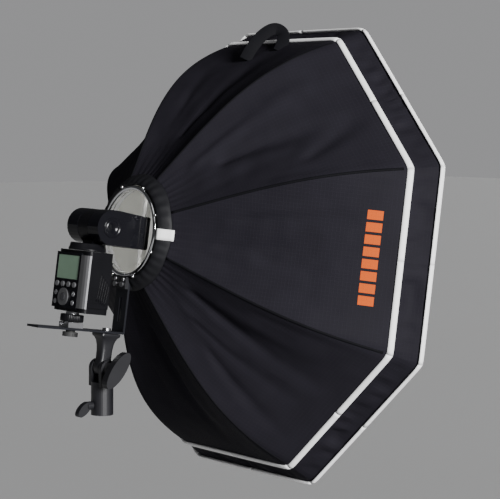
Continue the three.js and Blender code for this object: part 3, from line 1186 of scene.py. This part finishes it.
    def collar(self) -> bpy.types.Object:
        """The gathered elastic collar over the ribs' roots."""
        sides, rings, cloth = 256, [], []
        for step in range(sides):
            angle = 2 * math.pi * step / sides
            off = (angle + HALF_STEP) % (2 * HALF_STEP) - HALF_STEP
            gather = math.sin(angle * 34 + 2 * math.sin(angle * 3)) * 0.55 + noise.noise(
                Vector((math.cos(angle) * 9, math.sin(angle) * 9, 1.0))) * 0.6
            rib_near = abs(abs(off) - HALF_STEP) / HALF_STEP
            edge = 10.2 + 2.0 * rib_near
            path = [(65.0, -2.6), (66.0, -5.6), (70, -5.0 + gather), (75, -1.0 + gather * 1.2),
                    (79.5, edge - 6.2 + gather), (82.0, edge - 2.2)]
            back = [(r, a + 1.3) for r, a in reversed(path)]
            ring = [spot(a, -r * math.sin(angle), r * math.cos(angle)) for r, a in path + back]
            rings.append(ring)
            cloth += [(angle * 0.07, r * MM) for r, _ in path + back]
        piece = sweep("collar_elastic", rings, self.finishes.get(ELASTIC), cloth, True)
        return settle(piece, "head", "webbing", "collar")

    def tag(self) -> bpy.types.Object:
        """The small blank white tag beside the ring."""
        path = [(68.5, -6.0), (72, -5.0), (76, -1.2), (80, 3.4), (84, 7.6), (87.5, 10.6)]
        points = [spot(a - 0.9 + skin, -r, u) for skin in (0.0, 0.7) for r, a in path
                  for u in (-7.5, -2.5, 2.5, 7.5)]
        quads = grid_faces(len(path), 4)
        count = len(path) * 4
        faces: list[Sequence[int]] = list(quads) + [tuple(count + i for i in reversed(q)) for q in quads]
        border = [0, 1, 2, 3] + [4 * i + 3 for i in range(1, len(path))]
        border += [count - 2, count - 3, count - 4] + [4 * i for i in reversed(range(1, len(path) - 1))]
        faces += [(a, b, count + b, count + a) for a, b in zip(border, border[1:] + border[:1])]
        cloth = [(0.003 * (i % 4), 0.004 * (i // 4)) for i in range(2 * count)]
        piece = new_piece("blank_tag", points, faces, [self.finishes.get(WHITE_TAPE)], cloth=cloth)
        face_out(piece)
        return settle(piece, "head", "diffuser")

    def strap(self) -> bpy.types.Object:
        """The webbing loop near the top rim."""
        knots = [Vector(p) for p in (
            (170, 7, 269.5), (178, 6.5, 286), (190, 4, 305), (203, 0, 318), (213, -5, 321.5),
            (218, -14, 315), (213, -22, 302), (203, -28, 287))]
        section = ((-9, -0.3), (-8.4, -0.6), (0, -0.7), (8.4, -0.6), (9, -0.3), (9, 0.3), (8.4, 0.6),
                   (0, 0.7), (-8.4, 0.6), (-9, 0.3))
        rings, cloth, run, steps = [], [], 0.0, 6
        path = []
        for i in range(len(knots) - 1):
            p = [knots[max(0, min(len(knots) - 1, i + d))] for d in (-1, 0, 1, 2)]
            for t in (step / steps for step in range(steps)):
                path.append(0.5 * (2 * p[1] + (p[2] - p[0]) * t
                                   + (2 * p[0] - 5 * p[1] + 4 * p[2] - p[3]) * t * t
                                   + (3 * p[1] - p[0] - 3 * p[2] + p[3]) * t ** 3))
        path.append(knots[-1])
        for i, middle in enumerate(path):
            run_on = (path[min(i + 1, len(path) - 1)] - path[max(i - 1, 0)]).normalized()
            across = run_on.cross(Vector((-0.62, -0.78, 0.15))).normalized()
            normal = run_on.cross(across)
            run += (middle - path[max(i - 1, 0)]).length
            ring = []
            for w, lift in section:
                ring.append(spot(*(middle + across * w + normal * lift)))
                cloth.append((w * MM, run * MM))
            rings.append(ring)
        piece = sweep("bundle_loop", rings, self.finishes.get(WEBBING), cloth)
        return settle(piece, "gore_8_after", "webbing", "bundle_strap")

    def build(self) -> None:
        """Build every piece of the canopy."""
        for rib in range(1, RIBS + 1):
            dress(f"rib_{rib}", self.finishes.get(SPRING), 0.5)
            self.rib_seam(rib)
            for side in Side:
                self.half_gore(rib, side)
                self.rim_tape(rib, side, self.line.rim_at, "rim")
                self.rim_tape(rib, side, 1.0, "lip")
        self.front()
        self.front_hem()
        self.collar()
        self.tag()
        self.strap()


# ---------------------------------------------------------------- hub, bracket, adapter


@dataclass
class Hub:
    """The chrome speed ring, its rib carrier and the bright rivets at the rib roots."""

    finishes: Finishes
    inner: float = 58.0
    outer: float = 61.8
    roll: float = 3.3
    back: float = -7.2

    def ring(self) -> bpy.types.Object:
        """The chrome ring with a rolled lip."""
        middle, roll = self.inner + self.roll, self.roll
        lip = [(middle + roll * math.cos(t), self.back + roll - roll * math.sin(t))
               for t in (math.pi * (i / 16 * 1.4 - 0.2) for i in range(17))]
        profile = lip + [(self.inner, 0.5), (self.inner + 0.3, 7.6), (self.inner + 0.8, 8.0),
                         (self.outer - 0.6, 8.0), (self.outer, 7.5), (self.outer, -0.5)]
        piece = turned("speed_ring", profile, self.finishes.get(CHROME), spot, 192)
        return settle(piece, "head", "chrome", "hub_ring")

    def rivets(self) -> None:
        """The rivets that show at the rib roots."""
        for rib in range(1, RIBS + 1):
            rings = []
            for radius, ahead in ((0.3, -8.4), (1.5, -8.1), (2.2, -7.3), (2.4, -6.2), (2.4, -4.8)):
                ring = []
                for i in range(16):
                    turn = 2 * math.pi * i / 16
                    out, left = 66.2 + radius * math.cos(turn), radius * math.sin(turn)
                    ring.append(beside_rib(rib, ahead, out, left))
                rings.append(ring)
            settle(sweep(f"root_rivet_{rib}", rings, self.finishes.get(CHROME)), "head", "chrome")

    def build(self) -> None:
        """Build every piece of the hub."""
        self.ring()
        self.rivets()
        dress("rib_carrier", self.finishes.get(PLASTIC), 0.3)


@dataclass
class Bracket:
    """The L-bracket, its clamp, the tilting stand adapter and the cold shoe."""

    finishes: Finishes
    neck_ahead: float = -21.88

    def build(self) -> None:
        """Dress every piece of the bracket."""
        looks: dict[str, tuple[Cloth | Metal | Moulded, float]] = {
            "l_bracket": (ANODISED, 0.5), "ring_clamp": (CASTING, 0.8), "clamp_screw_left": (STEEL, 0.5),
            "clamp_screw_right": (STEEL, 0.5), "neck_screw": (STEEL, 0.6), "adapter_body": (CASTING, 1.6),
            "clamp_knob": (CASTING, 2.5), "tilt_knob": (CASTING, 3.0),
            "cold_shoe": (STEEL, 0.3)}
        for node, (finish, width) in looks.items():
            dress(node, self.finishes.get(finish), width)
        wheel = knurled("shoe_wheel", self.finishes.get(PLASTIC), upright_axis(SHOE_AHEAD), 10.5, 3.3,
                        -152.0, -146.0, 26)
        settle(wheel, "shoe_knob", "plastic")
        self.neck()
        for word, side in (("left", 1), ("right", -1)):
            stud = [(0.05, -9.6), (2.7, -9.6), (2.7, -11.4), (2.2, -12.0), (0.05, -12.3)]
            piece = turned(f"clamp_stud_{word}", stud, self.finishes.get(STEEL),
                           level_axis(side * 9.5, -66.4), 32)
            settle(piece, "head", "steel")

    def neck(self) -> None:
        """The cast neck: a flange that flares under the plate, a stem and a round tongue."""
        levels = [(-143.4, 15.4, 13.4), (-144.0, 16.0, 14.0), (-147.0, 16.0, 14.0), (-147.8, 15.4, 13.4),
                  (-150, 13.2, 11.8), (-154, 11.2, 10.2), (-160, 9.8, 9.1), (-168, 9.1, 8.6),
                  (-178, 9.0, 8.5), (-183, 9.6, 8.5), (-187, 10.9, 8.5), (-191.6, 11.5, 8.5),
                  (-196, 10.6, 8.5), (-199.5, 8.4, 8.4), (-202, 5.0, 8.2), (-203, 1.5, 7.6)]
        rings = []
        for up, half_long, half_wide in levels:
            corner = min(4.0, half_long * 0.6)
            ring = []
            for quarter, (sx, sy) in enumerate(((1, 1), (-1, 1), (-1, -1), (1, -1))):
                for step in range(6):
                    angle = (quarter + step / 5) * math.pi / 2
                    ring.append(spot(self.neck_ahead + sx * (half_long - corner) + corner * math.cos(angle),
                                     sy * (half_wide - corner) + corner * math.sin(angle), up))
            rings.append(ring)
        piece = sweep("neck_casting", rings, self.finishes.get(CASTING))
        soften(piece, 0.2, 2, 50)
        settle(piece, "head", "casting", "neck_block")


@dataclass
class Flash:
    """The hot-shoe flash: body, rear panel, foot, neck and head."""

    finishes: Finishes
    pivot: Point = (-57.6, 1.3)
    swivel: float = -69.0

    def build(self) -> None:
        """Dress every piece of the flash."""
        looks: dict[str, tuple[Cloth | Metal | Moulded, float]] = {
            "flash_case": (PLASTIC, 1.6), "battery_door": (PLASTIC, 0.5), "battery_pack": (WRAP, 1.0),
            "side_trim": (SILVER_PAINT, 0.5), "flash_foot": (STEEL, 0.3),
            "rear_panel": (SATIN, 0.8), "lcd_window": (SCREEN, 0.3), "dial_ring": (SILVER_PAINT, 0.5),
            "dial_button": (RUBBER, 0.6), "swivel_neck": (PLASTIC, 0.8), "head_shell": (SATIN, 2.0),
            "reflector": (CHROME, 0.4), "flash_tube": (CLEAR, 0.4), "head_lens": (CLEAR, 0.6),
            "wide_panel": (CLEAR, 0.2)}
        for node, (finish, width) in looks.items():
            dress(node, self.finishes.get(finish), width)
        for number in range(1, 5):
            dress(f"key_{number}", self.finishes.get(KEY), 0.8)
        self.head_details()
        self.body_details()

    def cheek(self, along: float, across: float, up: float) -> Vector:
        """A place on the head's pivot axis: along it, then ahead of and above it."""
        return spot(self.pivot[0] + across, along, self.pivot[1] + up)

    def head_details(self) -> None:
        """The bosses on the cheeks, the seam, the front rim and the neck's drum."""
        plastic, satin = self.finishes.get(PLASTIC), self.finishes.get(SATIN)
        boss = [(13.8, 37.4), (13.8, 38.5), (13.2, 39.1), (11.6, 39.1), (11.1, 38.5), (9.6, 38.5),
                (9.1, 39.0), (7.2, 39.0), (6.8, 38.6), (0.05, 38.9), (0.05, 37.4)]
        for word, side in (("left", 1), ("right", -1)):
            piece = turned(f"cheek_boss_{word}", [(r, side * y) for r, y in boss], satin, self.cheek, 72)
            settle(piece, "flash_head", "plastic")
        lip = [(-0.5, -13.4), (0.25, -13.4), (0.45, -12.9), (0.45, -12.3), (0.25, -11.8), (-0.5, -11.8)]
        settle(frame_ring("head_seam", plastic, spot, (-38.0, 38.0, -22.7, 22.25), 2.2, lip),
               "flash_head", "plastic")
        rim = [(-1.2, -4.0), (0.3, -4.0), (0.75, -3.5), (0.75, 2.6), (0.4, 3.3), (-1.2, 3.3)]
        settle(frame_ring("head_rim", plastic, spot, (-38.0, 38.0, -22.7, 21.2), 2.2, rim),
               "flash_head", "plastic")
        drum = [(10.0, -33.7), (25.2, -33.7), (25.8, -33.0), (25.6, -31.0), (24.9, -30.4), (23.8, -24.4),
                (23.0, -23.3), (10.0, -23.3)]
        piece = turned("swivel_drum", drum, plastic, upright_axis(self.swivel))
        settle(piece, "swivel", "plastic")

    def right_side(self, height: float, across: float, up: float) -> Vector:
        """A place on the right side: how far out of it, then ahead and up."""
        return spot(across, -height, up)

    def body_details(self) -> None:
        """The door's grip, the second set of keys and the knurled lock wheel."""
        plastic, silver = self.finishes.get(PLASTIC), self.finishes.get(KEY)
        for number in range(5):
            foot = -72.0 + number * 3.4
            piece = bar(f"door_grip_{number + 1}", plastic, self.right_side, (foot, -100 - number * 1.5),
                        (foot + 4.5, -62 - number * 3.5), 1.5, 40.3, 41.5)
            settle(piece, "battery_door", "plastic")
        cap = [(0.05, -92.6), (3.5, -92.6), (3.5, -93.5), (2.9, -94.0), (0.05, -94.2)]
        seats = ((28.5, -94), (28.5, -106), (-14.5, -94), (-14.5, -106))
        for number, (left, up) in enumerate(seats, 1):
            piece = turned(f"side_key_{number}", cap, silver, level_axis(left, up), 32)
            settle(piece, "flash", "key")
        wheel = knurled("foot_wheel", plastic, upright_axis(SHOE_AHEAD), 16.0, 9.4, -131.8, -121.5, 36)
        settle(wheel, "foot_lock", "plastic", "foot_lock")


# ---------------------------------------------------------------- studio


@dataclass
class Studio:
    """The floor, the lights and the camera."""

    floor_height: float = -1.25
    floor_half: float = 40.0
    grey: float = 0.307
    room: float = 0.045
    floor_tone: float = 0.36

    def floor(self) -> None:
        """A plain pale floor, far below the stand's top."""
        half = self.floor_half
        points = [Vector((x, y, self.floor_height))
                  for x, y in ((-half, -half), (half, -half), (half, half), (-half, half))]
        bench = Bench("floor_paint")
        cloud = bench.grain(0.8, 2.0)
        tone = self.floor_tone
        paint = bench.blend(cloud, (tone, tone, tone), (tone * 1.02, tone * 1.02, tone * 1.03))
        look = bench.finish(Base_Color=paint, Roughness=cloud * 0.1 + 0.85, Specular_IOR_Level=0.1)
        new_piece("studio_floor", points, [(0, 1, 2, 3)], [look], smooth=False)

    def world(self) -> None:
        """A dim, even studio all round, seen as a plain grey backdrop."""
        world = bpy.data.worlds.new("studio")
        world.use_nodes = True
        tree = world.node_tree
        room = tree.nodes["Background"]
        room.inputs["Color"].default_value = (0.95, 0.97, 1.0, 1.0)
        room.inputs["Strength"].default_value = self.room
        backdrop = tree.nodes.new("ShaderNodeBackground")
        backdrop.inputs["Color"].default_value = (self.grey, self.grey, self.grey * 1.02, 1.0)
        seen = tree.nodes.new("ShaderNodeLightPath")
        mix = tree.nodes.new("ShaderNodeMixShader")
        tree.links.new(seen.outputs["Is Camera Ray"], mix.inputs[0])
        tree.links.new(room.outputs[0], mix.inputs[1])
        tree.links.new(backdrop.outputs[0], mix.inputs[2])
        tree.links.new(mix.outputs[0], tree.nodes["World Output"].inputs["Surface"])
        bpy.context.scene.world = world

    def sun(self, name: str, towards: Sequence[float], strength: float, spread: float) -> None:
        """One broad, even light.

        Args:
            name: the light's name.
            towards: the direction from the softbox to the light.
            strength: the light that falls on a surface facing it.
            spread: the light's width, in degrees.
        """
        data = bpy.data.lights.new(name, "SUN")
        data.energy, data.angle = strength, math.radians(spread)
        light = bpy.data.objects.new(name, data)
        light.rotation_euler = Vector(towards).to_track_quat("Z", "Y").to_euler()
        bpy.context.scene.collection.objects.link(light)

    def camera(self) -> None:
        """The camera, behind and to the right of the softbox."""
        place = Vector((-1.36477, -2.04592, 0.40349))
        yaw, pitch, roll = math.radians(51.568), math.radians(-4.030), math.radians(0.551)
        ahead = Vector((math.cos(yaw) * math.cos(pitch), math.sin(yaw) * math.cos(pitch), math.sin(pitch)))
        level = ahead.cross(Vector((0, 0, 1))).normalized()
        upward = level.cross(ahead)
        right = level * math.cos(roll) + upward * math.sin(roll)
        top = upward * math.cos(roll) - level * math.sin(roll)
        data = bpy.data.cameras.new("view")
        data.lens, data.sensor_width = 128.58, 36.0
        eye = bpy.data.objects.new("view", data)
        axes = Matrix((right, top, -ahead)).transposed().to_4x4()
        eye.matrix_world = Matrix.Translation(place) @ axes
        bpy.context.scene.collection.objects.link(eye)
        bpy.context.scene.camera = eye

    def build(self) -> None:
        """Set up the studio."""
        self.camera()
        self.floor()
        self.world()
        self.sun("key", (-0.12, -1.0, 0.25), 7.4, 18.0)
        self.sun("front", (1.0, 0.25, 0.12), 3.6, 40.0)
        self.sun("top", (-0.8, -0.5, 1.0), 0.3, 40.0)


def main() -> None:
    """Build the softbox in order and report each part."""
    logging.basicConfig(level=logging.INFO, format="%(name)s: %(message)s")
    finishes = Finishes()
    Studio().build()
    for part in (Canopy(finishes), Hub(finishes), Bracket(finishes), Flash(finishes)):
        part.build()
        LOG.info("%s built", type(part).__name__)


if __name__ == "__main__":
    main()
